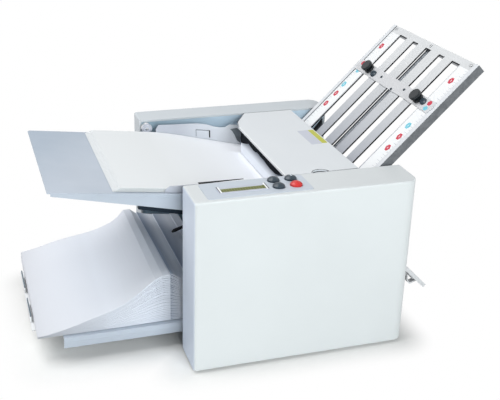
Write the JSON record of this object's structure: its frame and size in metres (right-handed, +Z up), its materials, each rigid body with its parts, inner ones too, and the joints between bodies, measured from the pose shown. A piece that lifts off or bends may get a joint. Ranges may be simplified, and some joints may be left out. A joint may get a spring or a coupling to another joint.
{
  "type": "paper folding machine",
  "caption": "Desktop paper folder: sloping feed table between side housings, driven fold rollers, slotted upper and lower fold plates with sliding stops, lift-off cover and outfeed tray.",
  "frame": {"origin": "centre of the whole footprint, at floor level under the rubber feet", "axes": "+X along the paper path from feed table to fold plates, +Y from the operator side to the rear housing, +Z up"},
  "size_m": [0.5866, 0.3534, 0.3566],
  "materials": {
    "housing_white": "pale grey-white moulded housing, fine satin texture",
    "cover_grey": "light grey moulded cover, satin",
    "painted_steel": "pale blue-grey powder coat",
    "frame_steel": "blue-grey painted sheet",
    "zinc_steel": "zinc plated",
    "plate_steel": "light grey satin enamel",
    "rail_dark": "dark grey anodised",
    "chrome": "polished",
    "rubber_dark": "ground rubber",
    "rubber_feet": "matt",
    "black_plastic": "satin",
    "button_grey": "dark blue-grey, moulded",
    "button_red": "red, moulded",
    "panel_overlay": "pale blue-grey overlay film",
    "bezel": "pale",
    "display": "olive green display",
    "board_green": "solder mask",
    "brass_bush": "sintered bronze",
    "gear_nylon": "natural nylon",
    "cork_pad": "friction lining",
    "paper": "uncoated white copier paper"
  },
  "bodies": {
    "chassis": {"front_housing": "housing_white", "rear_housing": "housing_white", "front_side_frame": "frame_steel", "rear_side_frame": "frame_steel", "shaft_bushes": "brass_bush", "base_plate": "zinc_steel", "cross_rods": "zinc_steel", "right_cover": "painted_steel", "rubber_feet": "rubber_feet", "housing_screws": "zinc_steel", "control_panel": "panel_overlay", "display_bezel": "bezel", "display_window": "display", "control_board": "board_green", "power_entry": "black_plastic", "power_supply": "board_green", "drive_motor": "black_plastic", "drive_belts": "rubber_dark", "feed_table": "painted_steel", "table_support_arms": "black_plastic", "feed_ramp": "painted_steel", "feed_chute": "zinc_steel", "separator_pad": "cork_pad", "paper_stack": "paper", "exit_chute": "zinc_steel"},
    "button_front_left": {"button_front_left": "button_grey"},
    "button_stop": {"button_stop": "button_red"},
    "button_rear_left": {"button_rear_left": "button_grey"},
    "button_rear_right": {"button_rear_right": "button_grey"},
    "switch": {"switch_rocker": "black_plastic"},
    "motor": {"motor_pulley": "zinc_steel"},
    "feed": {"feed_shaft": "zinc_steel", "feed_tyres": "rubber_dark"},
    "roller_1": {"fold_roller_1": "rubber_dark", "roller_shaft_1": "zinc_steel"},
    "roller_2": {"fold_roller_2": "rubber_dark", "roller_shaft_2": "zinc_steel"},
    "roller_3": {"fold_roller_3": "rubber_dark", "roller_shaft_3": "zinc_steel"},
    "roller_4": {"fold_roller_4": "rubber_dark", "roller_shaft_4": "zinc_steel"},
    "exit": {"exit_shaft": "zinc_steel", "exit_wheels": "rubber_dark"},
    "cover": {"top_cover": "cover_grey"},
    "front_guide": {"front_guide": "plate_steel"},
    "rear_guide": {"rear_guide": "plate_steel"},
    "guide_knob": {"guide_knob": "chrome"},
    "upper_plate": {"upper_plate_top_sheet": "plate_steel", "upper_plate_bottom_sheet": "plate_steel", "upper_plate_rails": "rail_dark", "upper_plate_rod": "zinc_steel"},
    "upper_stop": {"upper_stop_bar": "plate_steel"},
    "upper_knob_front": {"upper_knob_front": "black_plastic"},
    "upper_knob_rear": {"upper_knob_rear": "black_plastic"},
    "lower_plate": {"lower_fold_plate": "plate_steel"},
    "lower_stop": {"lower_stop": "plate_steel"},
    "lower_knob": {"lower_knob": "black_plastic"},
    "tray": {"outfeed_tray": "painted_steel", "folded_sheets": "paper"},
    "end_stop": {"end_stop": "zinc_steel"}
  },
  "joints": [
    {"name": "button_front_left_press", "type": "slide", "parent": "chassis", "child": "button_front_left", "axis": [0, 0, -1], "range_m": [0, 0.0012], "stiffness_N_per_m": 400, "springref_m": -0.001},
    {"name": "button_stop_press", "type": "slide", "parent": "chassis", "child": "button_stop", "axis": [0, 0, -1], "range_m": [0, 0.0012], "stiffness_N_per_m": 400, "springref_m": -0.001},
    {"name": "button_rear_left_press", "type": "slide", "parent": "chassis", "child": "button_rear_left", "axis": [0, 0, -1], "range_m": [0, 0.0012], "stiffness_N_per_m": 400, "springref_m": -0.001},
    {"name": "button_rear_right_press", "type": "slide", "parent": "chassis", "child": "button_rear_right", "axis": [0, 0, -1], "range_m": [0, 0.0012], "stiffness_N_per_m": 400, "springref_m": -0.001},
    {"name": "switch_rock", "type": "hinge", "parent": "chassis", "child": "switch", "pos_m": [0.08273, 0.1703, 0.038], "axis": [0, 0, -1], "range_deg": [0, 14]},
    {"name": "roller_2_spin", "type": "hinge", "parent": "chassis", "child": "roller_2", "pos_m": [0.10773, 0.0048, 0.1565], "axis": [0, 1, 0], "continuous": true},
    {"name": "roller_1_spin", "type": "hinge", "parent": "chassis", "child": "roller_1", "pos_m": [0.08751, 0.0048, 0.17672], "axis": [0, 1, 0], "continuous": true},
    {"name": "roller_3_spin", "type": "hinge", "parent": "chassis", "child": "roller_3", "pos_m": [0.12795, 0.0048, 0.17672], "axis": [0, 1, 0], "continuous": true},
    {"name": "roller_4_spin", "type": "hinge", "parent": "chassis", "child": "roller_4", "pos_m": [0.12795, 0.0048, 0.13628], "axis": [0, 1, 0], "continuous": true},
    {"name": "feed_spin", "type": "hinge", "parent": "chassis", "child": "feed", "pos_m": [0.05273, 0.0048, 0.20526], "axis": [0, 1, 0], "continuous": true},
    {"name": "motor_spin", "type": "hinge", "parent": "chassis", "child": "motor", "pos_m": [0.01273, 0.0048, 0.088], "axis": [0, 1, 0], "continuous": true},
    {"name": "exit_spin", "type": "hinge", "parent": "chassis", "child": "exit", "pos_m": [-0.02227, 0.0048, 0.1043], "axis": [0, 1, 0], "continuous": true},
    {"name": "cover_lift", "type": "slide", "parent": "chassis", "child": "cover", "axis": [0, 0, 1], "range_m": [0, 0.06]},
    {"name": "rear_guide_slide", "type": "slide", "parent": "chassis", "child": "rear_guide", "axis": [0, 1, 0], "range_m": [0, 0.006]},
    {"name": "front_guide_slide", "type": "slide", "parent": "chassis", "child": "front_guide", "axis": [0, 1, 0], "range_m": [-0.006, 0]},
    {"name": "guide_knob_turn", "type": "hinge", "parent": "chassis", "child": "guide_knob", "pos_m": [-0.09867, 0.1233, 0.2226], "axis": [0, 1, 0], "range_deg": [0, 270]},
    {"name": "upper_plate_lift", "type": "slide", "parent": "chassis", "child": "upper_plate", "axis": [0.712, 0, 0.7022], "range_m": [0, 0.06]},
    {"name": "upper_stop_slide", "type": "slide", "parent": "upper_plate", "child": "upper_stop", "axis": [0.712, 0, 0.7022], "range_m": [-0.076, 0.043]},
    {"name": "upper_knob_front_turn", "type": "hinge", "parent": "upper_stop", "child": "upper_knob_front", "pos_m": [0.22404, -0.0702, 0.3063], "axis": [-0.7022, 0, 0.712], "range_deg": [0, 270]},
    {"name": "upper_knob_rear_turn", "type": "hinge", "parent": "upper_stop", "child": "upper_knob_rear", "pos_m": [0.22404, 0.0798, 0.3063], "axis": [-0.7022, 0, 0.712], "range_deg": [0, 270]},
    {"name": "lower_plate_pull", "type": "slide", "parent": "chassis", "child": "lower_plate", "axis": [0.7071, 0, -0.7071], "range_m": [0, 0.02]},
    {"name": "lower_stop_slide", "type": "slide", "parent": "lower_plate", "child": "lower_stop", "axis": [0.7071, 0, -0.7071], "range_m": [-0.08, 0.006]},
    {"name": "lower_knob_turn", "type": "hinge", "parent": "lower_stop", "child": "lower_knob", "pos_m": [0.21938, 0.0048, 0.0481], "axis": [0.7071, 0, 0.7071], "range_deg": [0, 270]},
    {"name": "tray_pull", "type": "slide", "parent": "chassis", "child": "tray", "axis": [-1, 0, 0], "range_m": [0, 0.05]},
    {"name": "end_stop_slide", "type": "slide", "parent": "tray", "child": "end_stop", "axis": [-1, 0, 0], "range_m": [0, 0.05]}
  ],
  "couplings": [
    {"joint": "roller_1_spin", "follows": "roller_2_spin", "ratio": -1},
    {"joint": "roller_3_spin", "follows": "roller_2_spin", "ratio": -1},
    {"joint": "roller_4_spin", "follows": "roller_2_spin", "ratio": -1},
    {"joint": "feed_spin", "follows": "roller_2_spin", "ratio": -1},
    {"joint": "motor_spin", "follows": "roller_2_spin", "ratio": 1.75},
    {"joint": "front_guide_slide", "follows": "rear_guide_slide", "ratio": -1}
  ]
}
